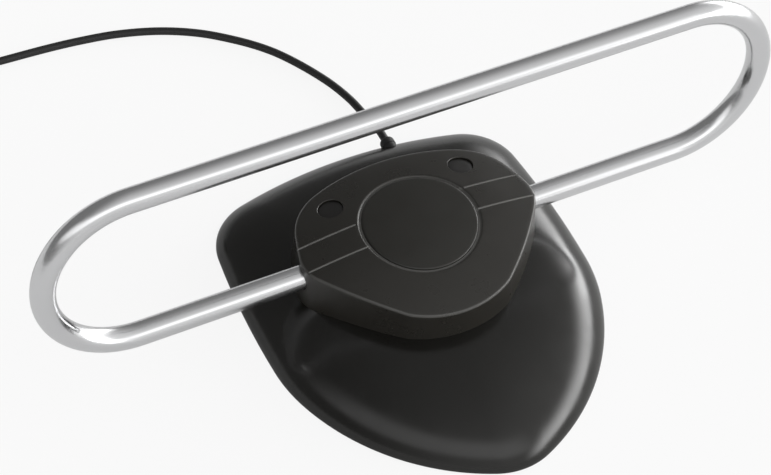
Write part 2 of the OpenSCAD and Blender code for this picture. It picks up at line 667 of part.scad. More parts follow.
// Loop of round section, drawn in its own plane with its lower run on the X axis
module loop_form(r) {
  long = run_half - end_gap / 2;
  for (s = [-1, 1]) {
    translate([s * (end_gap + long) / 2, 0, 0]) rotate([0, 90, 0]) cylinder(r = r, h = long, center = true);
    translate([s * run_half, bend_r, 0]) rotate([0, 0, s * 90 - 180]) rotate_extrude(angle = 180)
      translate([bend_r, 0]) circle(r = r);
  }
  translate([0, 2 * bend_r, 0]) rotate([0, 90, 0]) cylinder(r = r, h = 2 * run_half, center = true);
}

module loop_joiner() {
  color([0.85, 0.84, 0.8]) {
    along_tube(-end_gap / 2) cylinder(r = tube_r, h = end_gap);
    along_tube(-end_gap / 2 - spigot_l)
      cylinder(r = tube_r - tube_wall - spigot_gap, h = end_gap + 2 * spigot_l);
  }
}

module tube_clip(s) {
  inner = tube_r + 0.05;
  color([0.8, 0.6, 0.35]) {
    along_tube(s * clip_x - clip_w / 2) difference() {
      cylinder(r = inner + clip_t, h = clip_w);
      translate([0, 0, -1]) cylinder(r = inner, h = clip_w + 2);
      translate([inner / 2, -2, -1]) cube([inner, 4, clip_w + 2]);
    }
    for (g = [-1, 1]) translate([s * clip_x - clip_w / 2, loop_y + g * 2 + (g < 0 ? -clip_t : 0), board_top])
      cube([clip_w, clip_t, loop_z - board_top - sqrt(inner * inner - 4)]);
  }
}

module circuit_board() {
  color([0.1, 0.35, 0.2]) difference() {
    translate([-board_l / 2, loop_y + board_rear - board_w, board_z]) cube([board_l, board_w, board_t]);
    for (s = [-1, 1]) translate([s * (board_l / 2 - 3), loop_y + board_rear - 3, board_z - 1])
      cylinder(d = 2.4, h = board_t + 2);
  }
}

module balun_core() {
  y = loop_y + board_rear - board_w + 2;
  color([0.25, 0.25, 0.26]) difference() {
    translate([-core_l / 2, y, board_top]) cube([core_l, core_w, core_h]);
    for (s = [-1, 1]) translate([s * core_l / 4, y - 1, board_top + core_h / 2]) rotate([-90, 0, 0])
      cylinder(d = core_hole_d, h = core_w + 2);
  }
}

module coax_lead() {
  color([0.08, 0.08, 0.08]) cord(inner_route, lead_d, 8);
}

module strain_relief() {
  color([0.07, 0.07, 0.07]) translate([relief_x, wall_y - flange_t, relief_z]) rotate([-90, 0, 0])
    rotate_extrude() relief_profile();
}
// Half section of the relief: flange, neck through the wall, then a collar with a rounded end
module relief_profile() {
  start = boot_y - wall_y + flange_t;
  round_r = (boot_d - lead_d) / 2 - 0.1;
  polygon(concat([[0, 0], [flange_d / 2, 0], [flange_d / 2, flange_t], [boot_d / 2 - 0.2, flange_t],
    [boot_d / 2 - 0.2, start], [boot_d / 2, start]],
    [for (a = [0 : 15 : 90]) [boot_d / 2 + round_r * (cos(a) - 1), start + boot_l + round_r * (sin(a) - 1)]],
    [[0, start + boot_l]]));
}

module cable_run() {
  color([0.06, 0.06, 0.06]) cord(route, lead_d, 8);
}

module cable_coil() {
  color([0.06, 0.06, 0.06]) translate([coil_c[0], coil_c[1], coil_z])
    rotate_extrude() translate([coil_d / 2, bundle_h / 2]) bundle_section();
}
module bundle_section() {
  r = 2.5;
  polygon([for (c = [[1, 1, 0], [-1, 1, 90], [-1, -1, 180], [1, -1, 270]]) for (a = [0 : 22.5 : 90])
    [c[0] * (bundle_w / 2 - r) + r * cos(c[2] + a), c[1] * (bundle_h / 2 - r) + r * sin(c[2] + a)]]);
}

module cable_tail() {
  color([0.06, 0.06, 0.06]) cord(tail, lead_d, 8);
}

module cable_tie() {
  w = bundle_w + 2 * (tie_t + tie_slack);
  h = bundle_h + 2 * tie_t;
  color([0.1, 0.1, 0.1]) translate([coil_c[0], coil_c[1], h / 2]) rotate([0, 0, -60])
    translate([coil_d / 2, -tie_w / 2, 0]) difference() {
    union() {
      translate([-w / 2, 0, -h / 2]) cube([w, tie_w, h]);
      translate([w / 2 - 0.2, -0.5, -2]) cube([3, tie_w + 1, 4]);
    }
    translate([tie_t - w / 2, -1, -bundle_h / 2]) cube([w - 2 * tie_t, tie_w + 2, bundle_h]);
  }
}

// Places its children at the plug's rear, looking out of the plug towards -Y
module on_plug() {
  translate(plug_c) rotate([90, 0, 0]) children();
}
module plug_body() {
  r = plug_d / 2;
  color([0.08, 0.08, 0.08]) on_plug() difference() {
    rotate_extrude() polygon([[0, 0], [lead_r + 0.8, 0], [lead_r + 1.4, 5], [r - 0.8, 7], [r, 8],
      [r, plug_l - 1], [r - 1, plug_l], [0, plug_l]]);
    translate([0, 0, plug_l - sleeve_root]) cylinder(d = sleeve_d + 2 * sleeve_collar, h = sleeve_root + 1);
  }
}
module plug_sleeve() {
  color([0.75, 0.75, 0.77]) on_plug() translate([0, 0, plug_l - sleeve_root]) difference() {
    union() {
      cylinder(d = sleeve_d + 2 * sleeve_collar, h = sleeve_root);
      cylinder(d = sleeve_d, h = sleeve_root + sleeve_l);
    }
    translate([0, 0, 2]) cylinder(d = sleeve_bore, h = sleeve_l + sleeve_root);
    translate([0, 0, -1]) cylinder(d = pin_d, h = 5);
  }
}
module plug_pin() {
  h = sleeve_root + sleeve_l - 1;
  color([0.8, 0.7, 0.45]) on_plug() translate([0, 0, plug_l - sleeve_root]) {
    cylinder(d = pin_d, h = h);
    translate([0, 0, h]) cylinder(d1 = pin_d, d2 = pin_d - 1.2, h = 1);
  }
}

base_cover();
base_plate();
ballast_plate();
foot(-foot_front_x, foot_front_y);  // foot_front_left
foot(foot_front_x, foot_front_y);  // foot_front_right
foot(-foot_rear_x, foot_rear_y);  // foot_rear_left
foot(foot_rear_x, foot_rear_y);  // foot_rear_right
base_screws();
head_cover();
head_cradle();
badge_disc();
screw_plug(0);  // screw_plug_left
screw_plug(1);  // screw_plug_right
head_screw(0);  // head_screw_left
head_screw(1);  // head_screw_right
antenna_loop();
loop_joiner();
tube_clip(-1);  // tube_clip_left
tube_clip(1);  // tube_clip_right
circuit_board();
balun_core();
coax_lead();
strain_relief();
cable_run();
cable_coil();
cable_tail();
cable_tie();
plug_body();
plug_sleeve();
plug_pin();
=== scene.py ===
"""Indoor television antenna, dressed for a studio picture: a long loop of bright tube held in a dark
moulded head on a low shield-shaped base, with a thin black lead behind it. Metres throughout."""
import bmesh
import bpy
import json
import math
import numpy as np
from mathutils import Matrix, Vector


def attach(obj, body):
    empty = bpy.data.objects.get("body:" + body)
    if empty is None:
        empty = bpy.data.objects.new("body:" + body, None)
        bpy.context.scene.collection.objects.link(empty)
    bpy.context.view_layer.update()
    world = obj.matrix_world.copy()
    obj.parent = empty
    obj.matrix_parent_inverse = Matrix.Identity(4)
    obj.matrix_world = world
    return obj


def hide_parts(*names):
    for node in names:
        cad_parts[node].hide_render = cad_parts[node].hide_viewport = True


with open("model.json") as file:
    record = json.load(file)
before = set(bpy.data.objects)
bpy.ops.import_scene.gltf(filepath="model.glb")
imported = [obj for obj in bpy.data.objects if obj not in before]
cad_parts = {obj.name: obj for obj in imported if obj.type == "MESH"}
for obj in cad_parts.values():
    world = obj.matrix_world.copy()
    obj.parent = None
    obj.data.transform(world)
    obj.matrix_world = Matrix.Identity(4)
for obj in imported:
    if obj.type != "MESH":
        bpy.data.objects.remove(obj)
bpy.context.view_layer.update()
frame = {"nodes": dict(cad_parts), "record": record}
nodes = frame["nodes"]
mm = 0.001

# Sizes shared by several pieces, as in the part's source
run_y = 16.4 * mm
run_z = 29 * mm
tube_r = 5 * mm
lead_d = 3.5 * mm

# Camera: the photograph's own point of view
view_azimuth = -30.27
view_elevation = 51.32
view_roll = 5.38
view_distance = 1.02742
view_focus = 2533.0
picture_w = 771
picture_h = 475
sensor_w = 36
view_centre = (416.23, 237.31)


def make_camera():
    """Stands the camera back along the line of sight from the middle of the loop's lower run. Its
    focal length in millimetres is the focus in picture widths times the sensor's width."""
    az, el, roll = [math.radians(v) for v in (view_azimuth, view_elevation, view_roll)]
    back = Vector((math.sin(az) * math.cos(el), -math.cos(az) * math.cos(el), math.sin(el)))
    right = Vector((math.cos(az), math.sin(az), 0))
    up = back.cross(right)
    level = Matrix((right, up, back)).transposed()
    turned = level @ Matrix.Rotation(roll, 3, "Z")
    data = bpy.data.cameras.new("photo_camera")
    data.sensor_width = sensor_w
    data.lens = sensor_w * view_focus / picture_w
    data.shift_x = -(view_centre[0] - picture_w / 2) / picture_w
    data.shift_y = (view_centre[1] - picture_h / 2) / picture_w
    data.clip_end = 20
    camera = bpy.data.objects.new("photo_camera", data)
    bpy.context.collection.objects.link(camera)
    camera.matrix_world = turned.to_4x4()
    camera.location = Vector((0, run_y, run_z)) + back * view_distance
    bpy.context.scene.camera = camera


make_camera()


# Meshes from arrays
def new_piece(name, points, faces):
    """Makes a smooth mesh object from an array of points and a list of faces, and lets it ride on the
    part's one body."""
    mesh = bpy.data.meshes.new(name)
    mesh.from_pydata(np.asarray(points).tolist(), [], [list(map(int, f)) for f in faces])
    mesh.validate()
    mesh.polygons.foreach_set("use_smooth", np.full(len(mesh.polygons), True))
    piece = bpy.data.objects.new(name, mesh)
    bpy.context.collection.objects.link(piece)
    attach(piece, "root")
    return piece


def grid_faces(rows, columns):
    """Quads of a grid of points stored row by row, its last column joined to the first."""
    i, j = np.meshgrid(np.arange(rows - 1), np.arange(columns), indexing="ij")
    a = i * columns + j
    b = i * columns + (j + 1) % columns
    return np.stack([a, b, b + columns, a + columns], -1).reshape(-1, 4)


def unit(v):
    """The same directions at a length of one."""
    return v / np.linalg.norm(v, axis=-1, keepdims=True)


# Outlines of tangent arcs
arc_step = 1.2


def arc(centre, r, start, stop):
    """Points after the first on a circle about a centre, no more than a step in degrees apart."""
    count = max(2, math.ceil(abs(start - stop) / arc_step))
    angle = np.radians(np.linspace(start, stop, count + 1)[1:])
    return np.asarray(centre) + r * np.stack([np.cos(angle), np.sin(angle)], -1)


def bearing(v):
    """Direction in degrees, anticlockwise from X."""
    return math.degrees(math.atan2(v[1], v[0]))


def link(ca, ra, cb, rb, turn):
    """Radius and centre of the arc that turns by a given angle between two circles, each tangent
    inside it: the triangle of the three centres has that angle at the arc's own centre."""
    reach = np.linalg.norm(cb - ca)
    k = (reach ** 2 - (ra - rb) ** 2) / (2 * (1 - math.cos(math.radians(turn))))
    r = (ra + rb) / 2 + math.sqrt(((ra - rb) / 2) ** 2 + k)
    p, q = r - ra, r - rb
    a = (reach ** 2 + p ** 2 - q ** 2) / (2 * reach)
    h = math.sqrt(max(p ** 2 - a ** 2, 0))
    u = (cb - ca) / reach
    return r, ca + a * u + h * np.array([u[1], -u[0]])


def shield(circles, turns, rear_r, nose_r):
    """Clockwise outline from the middle of the rear edge, the same on both sides: an arc of the rear
    radius, each corner circle joined to the next by its link, and an arc of the nose radius."""
    centres = [np.array(c[:2]) for c in circles]
    radii = [c[2] for c in circles]
    last = len(circles) - 1
    on_axis = centres[last][0] == 0
    rear_reach = math.sqrt((rear_r - radii[0]) ** 2 - centres[0][0] ** 2)
    rear = np.array([0, centres[0][1] - rear_reach])
    links = [link(centres[i], radii[i], centres[i + 1], radii[i + 1], turns[i]) for i in range(last)]
    start = [bearing(centres[0] - rear)]
    start += [bearing(centres[i + 1] - links[i][1]) for i in range(last)]
    stop = [bearing(centres[i] - links[i][1]) for i in range(last)]
    parts = [rear[None] + [[0, rear_r]], arc(rear, rear_r, 90, start[0])]
    if on_axis:
        stop.append(-90)
    else:
        nose_reach = math.sqrt((nose_r - radii[last]) ** 2 - centres[last][0] ** 2)
        nose = np.array([0, centres[last][1] + nose_reach])
        stop.append(bearing(centres[last] - nose))
    for i in range(last + 1):
        parts.append(arc(centres[i], radii[i], start[i], stop[i]))
        if i < last:
            parts.append(arc(links[i][1], links[i][0], stop[i], start[i + 1]))
    if not on_axis:
        parts.append(arc(nose, nose_r, stop[last], -90))
    half = np.vstack(parts)
    return np.vstack([half, half[-2:0:-1] * [-1, 1]])


def even(outline, count):
    """The same closed outline with its points an equal way apart."""
    closed = np.vstack([outline, outline[:1]])
    way = np.concatenate([[0], np.cumsum(np.linalg.norm(np.diff(closed, axis=0), axis=1))])
    at = np.linspace(0, way[-1], count + 1)[:-1]
    return np.stack([np.interp(at, way, closed[:, 0]), np.interp(at, way, closed[:, 1])], -1)


def inset(outline, d):
    """A clockwise outline moved inwards by d along its normals."""
    along = np.roll(outline, -1, 0) - np.roll(outline, 1, 0)
    return outline + d * unit(np.stack([along[:, 1], -along[:, 0]], -1))


# The lead's route outside the base, as in the part's source, begun where the collar ends here
route = np.array([
    [20.4, 85.3, 6.4], [20.4, 87, 6.4], [20.4, 89, 6.4], [20.4, 90.5, 6.35], [20.3, 94, 5.9],
    [20, 98, 4.9], [19.6, 103, 3.8], [19.2, 108, 2.8], [18.4, 114.5, 2.1], [16.6, 121.5, 1.8],
    [14, 128.5, 1.8], [10.2, 136.5, 1.8], [5.2, 145.5, 1.8], [-0.8, 154.5, 1.8], [-8, 162.6, 1.8],
    [-16, 169.8, 1.8], [-24.5, 176.4, 1.8], [-33.5, 181.8, 1.8], [-43, 186.2, 1.8], [-53, 189.6, 1.8],
    [-63.5, 192.2, 1.8], [-74, 193.8, 1.8], [-85, 195, 1.8], [-97, 195.8, 1.8], [-109, 196.3, 1.8],
    [-120, 196.9, 1.8], [-129, 198, 1.9], [-137, 199.2, 2.1], [-145.5, 199.8, 2.2], [-153, 200.3, 2.35],
    [-160, 200.5, 2.35]]) * mm
tail = np.array([
    [-184.5, 176, 9.35], [-184.6, 169, 8.9], [-184.8, 163, 8.2], [-184.9, 157, 7.4], [-185, 151, 6.6],
    [-185, 145, 6.1], [-185, 142, 6], [-185, 140, 6], [-185, 138, 6]]) * mm
coil_centre = np.array([-160, 176]) * mm
coil_r = 21 * mm
coil_low = 0.6 * mm + lead_d / 2
turn_steps = 48
crossing = 0.28
lead_sides = 16
# Each turn's place in the bundle: columns from the inside out and layers from the bottom up
turn_places = [(1, 0), (0, 0), (-1, 0), (-1, 1), (-1, 2), (0, 2), (0, 1), (1, 1), (1, 2), (1, 2)]


def smooth_through(points):
    """Puts a point between each pair by the four-point rule, which keeps the given points and leaves
    one even curve through them, and does so three times over."""
    for _ in range(3):
        padded = np.vstack([2 * points[0] - points[1], points, 2 * points[-1] - points[-2]])
        middle = (9 * (padded[1:-2] + padded[2:-1]) - padded[:-3] - padded[3:]) / 16
        woven = np.empty((len(points) + len(middle), 3))
        woven[0::2] = points
        woven[1::2] = middle
        points = woven
    return points


def coil_turns():
    """Turns about the coil's centre, anticlockwise from the rear: the radius and the height hold one
    place of the bundle for most of a turn and cross to the next on a smooth step."""
    turns = len(turn_places) - 0.75
    t = np.arange(0, turns, 1 / turn_steps)[1:]
    k = np.minimum(np.floor(t).astype(int), len(turn_places) - 2)
    s = np.clip((t - k - (1 - crossing)) / crossing, 0, 1)
    s = s * s * (3 - 2 * s)
    place = np.array(turn_places, float)
    at = place[k] * (1 - s[:, None]) + place[np.minimum(k + 1, len(place) - 1)] * s[:, None]
    radius = coil_r + lead_d * at[:, 0]
    angle = math.pi / 2 + 2 * math.pi * t
    return np.stack([coil_centre[0] + radius * np.cos(angle), coil_centre[1] + radius * np.sin(angle),
                     coil_low + lead_d * at[:, 1]], -1)


def tube_along(path, radius, sides):
    """Rings of a round tube about a path: each ring lies square to the path's direction, on two
    normals of which one stays level."""
    ahead = unit(np.gradient(path, axis=0))
    level = unit(np.cross(ahead, [0, 0.001, 1]))
    other = np.cross(ahead, level)
    angle = np.linspace(0, 2 * math.pi, sides, endpoint=False)[:, None]
    return path[:, None] + radius * (np.cos(angle) * level[:, None] + np.sin(angle) * other[:, None])


def capped(rings):
    """Points and faces of a stack of rings with both ends closed by fans about their middles."""
    rows, columns = rings.shape[:2]
    points = np.vstack([rings.reshape(-1, 3), rings[0].mean(0), rings[-1].mean(0)])
    j = np.arange(columns)
    start = np.stack([np.full(columns, rows * columns), (j + 1) % columns, j], -1)
    base = (rows - 1) * columns
    end = np.stack([np.full(columns, rows * columns + 1), base + j, base + (j + 1) % columns], -1)
    return points, grid_faces(rows, columns).tolist() + start.tolist() + end.tolist()


def outward(piece):
    """Turns every face of a closed piece outwards."""
    bm = bmesh.new()
    bm.from_mesh(piece.data)
    bmesh.ops.recalc_face_normals(bm, faces=bm.faces)
    bm.to_mesh(piece.data)
    bm.free()
    return piece


def make_lead():
    """The whole free lead, from the collar's end along its route, round the coil and on to the plug."""
    path = np.vstack([smooth_through(route)[:-1], coil_turns(), smooth_through(tail)])
    points, faces = capped(tube_along(path, lead_d / 2, lead_sides))
    lead = outward(new_piece("lead", points, faces))
    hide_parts("cable_run", "cable_coil", "cable_tail")
    return lead


# The base's cover, in millimetres until the outline is whole
base_half_l = 85.5
base_half_w = 71.5
base_rear_r = 204
base_corner_x = 44.5
base_corner_r = 25
base_side_y = -0.5
base_side_r = 70.5
base_nose_r = 30
base_turns = [9.3, 48.4]
base_points = 480
corner_reach = math.sqrt((base_rear_r - base_corner_r) ** 2 - base_corner_x ** 2)
base_circles = [(base_corner_x, base_half_l - base_rear_r + corner_reach, base_corner_r),
                (base_half_w - base_side_r, base_side_y, base_side_r),
                (0, base_nose_r - base_half_l, base_nose_r)]
base_outline = even(shield(base_circles, base_turns, base_rear_r, base_nose_r), base_points) * mm
base_rim_z = 0.8 * mm
base_top_z = 22 * mm
shoulder_in = 4
shoulder_up = 1.5


def at_height(outline, z):
    """A flat outline as points at one height."""
    return np.column_stack([outline, np.broadcast_to(z, len(outline))])


def make_base_cover():
    """Outer skin of the base: the outline drawn in towards the middle as it rises. At a share s of
    the outline the height is (1 - s ** 4) ** (1 / 1.5) of the rise, a full shoulder that rolls over to
    a nearly flat top. The head stands in its middle, so the skin is closed there."""
    spring_z = base_rim_z + 0.5 * mm
    angle = np.linspace(0, math.pi / 2, 60)
    share = np.cos(angle) ** (2 / shoulder_in)
    height = (1 - share ** shoulder_in) ** (1 / shoulder_up)
    rings = [at_height(base_outline, base_rim_z)]
    rings += [at_height(base_outline * s, spring_z + (base_top_z - spring_z) * h)
              for s, h in zip(share[:-1], height[:-1])]
    points, faces = capped(np.array(rings))
    points[-1] = [0, 0, base_top_z]
    cover = outward(new_piece("base_shell", points, faces))
    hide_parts("base_cover")
    return cover


base_shell = make_base_cover()

# The head's cover
disc_c = np.array([0, run_y - 1.8 * mm])
disc_r = 23.6 * mm
disc_gap = 0.08 * mm
ring_w = 0.8 * mm
ring_d = 0.8 * mm
crown_z = run_z + 13.8 * mm
disc_seat_z = crown_z - 4.4 * mm
crown_rx = 263 * mm
crown_ry = 115 * mm
seat_z = 12.5 * mm
skirt_z = base_top_z - 3.5 * mm
bevel = 0.9 * mm
flare = 1.2 * mm
cap_places = [(side * 29.4 * mm, run_y + 20.2 * mm) for side in (-1, 1)]
cap_r = 5.15 * mm
cap_gap = 0.1 * mm
cap_under = 0.8 * mm
cap_foot = 2.6 * mm
tube_gap = 0.25 * mm
groove_y = run_y + 0.8 * mm
groove_off = 6.2 * mm
groove_start = 24.2 * mm
groove_end = 50.4 * mm
groove_past_edge = 56 * mm
# Shares of the painted highlight colour in the ring round the disc and on the top's rounded edge
ring_highlight_tone = 0.55
edge_highlight_tone = 0.28
cut_sharp_edge = math.radians(28)
sharp_edge = math.radians(40)


def head_shield():
    """The head's plan, in millimetres about the loop's lower run, then moved to its place."""
    rear_y = 37
    rear_r = 88
    shoulder_x = 21.2
    shoulder_r = 28
    side = (35.5, -1.1, 16)
    front_y = -45
    front_r = 44.5
    nose_x = 13.4
    nose_r = 15.5
    turns = [2.1, 15.5]
    count = 420
    shoulder_y = rear_y - rear_r + math.sqrt((rear_r - shoulder_r) ** 2 - shoulder_x ** 2)
    nose_y = front_y + front_r - math.sqrt((front_r - nose_r) ** 2 - nose_x ** 2)
    circles = [(shoulder_x, shoulder_y, shoulder_r), side, (nose_x, nose_y, nose_r)]
    return even(shield(circles, turns, rear_r, front_r), count) * mm + [0, run_y]


def crown(x, y):
    """Height of the head's top: a very shallow dish of two parabolas about the disc's middle."""
    return crown_z - x ** 2 / (2 * crown_rx) - (y - disc_c[1]) ** 2 / (2 * crown_ry)


head_outline = head_shield()
head_foot = inset(head_outline, -flare)


def on_crown(outline, drop=0.0):
    """A flat outline laid on the crown, or a drop below it."""
    return np.column_stack([outline, crown(outline[:, 0], outline[:, 1]) - drop])


def cut(piece, cutters):
    """Takes the cutters' solids out of a piece and removes them, then keeps only true edges sharp."""
    for cutter in cutters:
        modifier = piece.modifiers.new("cut", "BOOLEAN")
        modifier.operation = "DIFFERENCE"
        modifier.solver = "EXACT"
        modifier.object = cutter
        with bpy.context.temp_override(object=piece, active_object=piece):
            bpy.ops.object.modifier_apply(modifier=modifier.name)
        bpy.data.objects.remove(cutter)
    piece.data.polygons.foreach_set("use_smooth", np.full(len(piece.data.polygons), True))
    piece.data.set_sharp_from_angle(angle=cut_sharp_edge)
    return piece


def turned(name, profile, centre, axis=(0, 0, 1), sides=128, ribs=0, rib_d=0.0, ribbed=(0, 0)):
    """Solid of revolution: each profile point (radius, way along the axis) makes a ring. Where it is
    ribbed, the radius falls by rib_d between a number of even ribs, on a cosine."""
    angle = np.linspace(0, 2 * math.pi, sides, endpoint=False)
    r, way = np.array(profile, float).T
    in_ribs = ((way > ribbed[0]) & (way < ribbed[1])).astype(float)
    r = r[:, None] - rib_d * in_ribs[:, None] * (0.5 - 0.5 * np.cos(ribs * angle))[None, :]
    rings = np.stack([r * np.cos(angle), r * np.sin(angle), np.repeat(way[:, None], sides, 1)], -1)
    normal = unit(np.array(axis, float))
    across = unit(np.cross(normal, [1, 0, 0]))
    rings = rings @ np.stack([across, np.cross(normal, across), normal]) + np.array(centre)
    points, faces = capped(rings)
    return outward(new_piece(name, points, faces))


def crown_axis(x, y):
    """Direction that stands square on the crown at a place."""
    return x / crown_rx, (y - disc_c[1]) / crown_ry, 1


def around_disc(r):
    """Clockwise circle about the disc's middle."""
    angle = np.linspace(0, -2 * math.pi, 240, endpoint=False)
    return disc_c + r * np.stack([np.cos(angle), np.sin(angle)], -1)


def seat_cutter():
    """The disc's seat and the shallow ring round it: straight down beside the disc, a floor that
    follows the crown, and an outer side that slopes outwards with a rounded upper edge."""
    seat = around_disc(disc_r + disc_gap)
    r = disc_r + ring_w
    rings = [at_height(seat, disc_seat_z), on_crown(seat, ring_d)]
    steps = [(0, ring_d), (0.1 * mm, 0.72 * ring_d), (0.62 * mm, 0.16 * ring_d), (0.82 * mm, 0.04 * ring_d),
             (1.1 * mm, -0.05 * mm), (1.3 * mm, -0.6 * mm)]
    rings += [on_crown(around_disc(r + out), drop) for out, drop in steps]
    rings.append(at_height(around_disc(r + 1.3 * mm), crown_z + 2 * mm))
    points, faces = capped(np.array(rings))
    return outward(new_piece("seat", points, faces))


def groove_cutter(side, y):
    """Fine V groove with rounded shoulders, straight in plan: its section is carried outwards along
    the crown from the ring round the disc to beyond the head's edge."""
    x = side * np.linspace(groove_start, groove_past_edge, 48)
    out = np.array([-1.3, -0.75, -0.5, -0.36, -0.08, 0.08, 0.36, 0.5, 0.75, 1.3]) * mm
    lift = np.array([0.7, 0.03, -0.04, -0.14, -0.42, -0.42, -0.14, -0.04, 0.03, 0.7]) * mm
    rings = np.stack([np.repeat(x[:, None], len(out), 1), y + out[None, :].repeat(len(x), 0),
                      crown(x, y)[:, None] + lift[None, :]], -1)
    points, faces = capped(rings)
    return outward(new_piece("groove", points, faces))


def mark_painted_highlights(cover):
    """Point attribute of a painted highlight: a lighter colour where light would catch the top's fine
    lines,
    1 at the bottom of the grooves and the ring's share in the ring, rising with the depth below the crown
    from 0.06 to 0.3 mm, the edge's share on the rounded edge of the top, and 0 elsewhere."""
    mesh = cover.data
    place = np.empty(len(mesh.vertices) * 3)
    mesh.vertices.foreach_get("co", place)
    x, y, z = place.reshape(-1, 3).T
    drop = crown(x, y) - z
    depth = np.clip((drop - 0.06 * mm) / (0.24 * mm), 0, 1) * (drop < 1 * mm)
    reach = np.hypot(x, y - disc_c[1])
    ring = (reach > disc_r + 0.05 * mm) & (reach < disc_r + ring_w + 0.9 * mm)
    groove = (np.abs(np.abs(y - groove_y) - groove_off) < 0.6 * mm) & (reach >= disc_r + ring_w)
    by_cap = np.min([np.hypot(x - cx, y - cy) for cx, cy in cap_places], axis=0) < cap_r + 1.5 * mm
    edge = (drop > 0.03 * mm) & (drop < 0.7 * mm) & ~ring & ~groove & ~by_cap
    layer = mesh.attributes.new("painted_highlight", "FLOAT", "POINT")
    # Painted highlight: a lighter colour on the groove bottoms, the ring and the rounded edge, for the
    # light they catch
    tone = depth * (ring_highlight_tone * ring + groove * (np.abs(x) < groove_end)) + edge_highlight_tone * edge
    layer.data.foreach_set("value", tone)


def make_head_cover():
    """Skin of the head: a skirt in the base's pocket, a wall that leans in from its flared foot as
    1 - (1 - t) ** 1.5, a rounded edge and the crowned top. Then the disc's seat, the screw wells,
    the fine grooves and the tube's two holes are cut."""
    rings = [at_height(head_foot, seat_z), at_height(head_foot, skirt_z)]
    edge_z = crown(head_outline[:, 0], head_outline[:, 1]) - bevel
    for t in np.linspace(0, 1, 15)[1:]:
        lean = 1 - (1 - t) ** 1.5
        ring = head_foot + lean * (head_outline - head_foot)
        rings.append(np.column_stack([ring, skirt_z + t * (edge_z - skirt_z)]))
    for turn in np.radians([22.5, 45, 67.5, 90]):
        ring = inset(head_outline, bevel * (1 - math.cos(turn)))
        rings.append(on_crown(ring, bevel * (1 - math.sin(turn))))
    rim = inset(head_outline, bevel)
    for s in np.linspace(1, 0.04, 34)[1:]:
        rings.append(on_crown(disc_c + s * (rim - disc_c)))
    points, faces = capped(np.array(rings))
    points[-1] = [*disc_c, crown_z]
    cover = outward(new_piece("head_shell", points, faces))
    cutters = [seat_cutter()]
    for x, y in cap_places:
        well = cap_r + cap_gap
        profile = [(well, -cap_foot), (well, -0.32 * mm), (well + 0.1 * mm, -0.14 * mm),
                   (well + 0.26 * mm, -0.03 * mm), (well + 0.5 * mm, 0.02 * mm), (well + 0.5 * mm, 1 * mm)]
        cutters.append(turned("well", profile, (x, y, crown(x, y)), crown_axis(x, y), 96))
    for side in (-1, 1):
        cutters += [groove_cutter(side, groove_y + g * groove_off) for g in (-1, 1)]
        bore = np.array([[side * 40 * mm, run_y, run_z], [side * 60 * mm, run_y, run_z]])
        points, faces = capped(tube_along(bore, tube_r + tube_gap, 96))
        cutters.append(outward(new_piece("bore", points, faces)))
    cut(cover, cutters)
    mark_painted_highlights(cover)
    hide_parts("head_cover")
    return cover


def make_disc():
    """The bare disc: a closed round blank whose rounded rim rises to the head's own crown."""
    inwards = np.array([0, 0.02, 0.1, 0.24, 0.42, 0.62, 0.9, 2, 5, 9, 14, 19, 22.5]) * mm
    drop = np.array([0.7, 0.5, 0.32, 0.16, 0.06, 0.015, 0, 0, 0, 0, 0, 0, 0]) * mm
    rings = [at_height(around_disc(disc_r), disc_seat_z)]
    rings += [on_crown(around_disc(disc_r - way), d) for way, d in zip(inwards, drop)]
    points, faces = capped(np.array(rings))
    points[-1] = [*disc_c, crown_z]
    disc = outward(new_piece("disc", points, faces))
    disc.data.set_sharp_from_angle(angle=sharp_edge)
    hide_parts("badge_disc")
    return disc


def make_cap(name, node, place):
    """A screw's cap: a flat disc with a rounded rim, square on the crown and just under it."""
    x, y = place
    profile = [(cap_r, -cap_foot), (cap_r, -1.12 * mm), (cap_r - 0.06 * mm, -0.95 * mm),
               (cap_r - 0.2 * mm, -0.84 * mm), (cap_r - 0.4 * mm, -cap_under), (2 * mm, -cap_under)]
    cap = turned(name, profile, (x, y, crown(x, y)), crown_axis(x, y), 96)
    cap.data.set_sharp_from_angle(angle=sharp_edge)
    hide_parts(node)
    return cap


head_shell = make_head_cover()
disc = make_disc()
caps = [make_cap("cap_" + side, "screw_plug_" + side, place)
        for side, place in zip(("left", "right"), cap_places)]

# The loop
loop_half = 120 * mm
loop_bend = 37 * mm
loop_lean = math.radians(5.3)
loop_sides = 64
tube_sharp_edge = math.radians(60)


def loop_path():
    """Middle line of the bent tube: a straight run, a half turn, the long upper run, another half
    turn and back to the joint inside the head. Laid out flat, then leant back about the lower run."""
    joint = 3 * mm
    turn = np.linspace(-math.pi / 2, math.pi / 2, 49)
    right = np.stack([loop_half + loop_bend * np.cos(turn), loop_bend + loop_bend * np.sin(turn)], -1)
    left = -right[::-1] * [1, -1]
    straight = np.linspace(joint, loop_half, 24)[:-1]
    top = np.linspace(loop_half, -loop_half, 47)[1:-1]
    flat = np.vstack([np.stack([straight, 0 * straight], -1), right,
                      np.stack([top, 0 * top + 2 * loop_bend], -1), left,
                      np.stack([-straight[::-1], 0 * straight], -1)])
    along, lift = flat.T
    return np.stack([along, run_y + lift * math.sin(loop_lean), run_z + lift * math.cos(loop_lean)], -1)


def make_loop():
    """Rings square to the path on the loop's own plane, so that the seams run true, closed at both
    ends."""
    path = loop_path()
    ahead = unit(np.gradient(path, axis=0))
    flat_normal = np.array([0, -math.cos(loop_lean), math.sin(loop_lean)])
    out = np.cross(ahead, flat_normal)
    angle = np.linspace(0, 2 * math.pi, loop_sides, endpoint=False)
    rings = path[:, None] + tube_r * (np.cos(angle)[:, None] * flat_normal
                                      + np.sin(angle)[:, None] * out[:, None])
    points, faces = capped(rings)
    tube = outward(new_piece("loop_tube", points, faces))
    tube.data.set_sharp_from_angle(angle=tube_sharp_edge)
    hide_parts("antenna_loop")
    return tube


loop = make_loop()

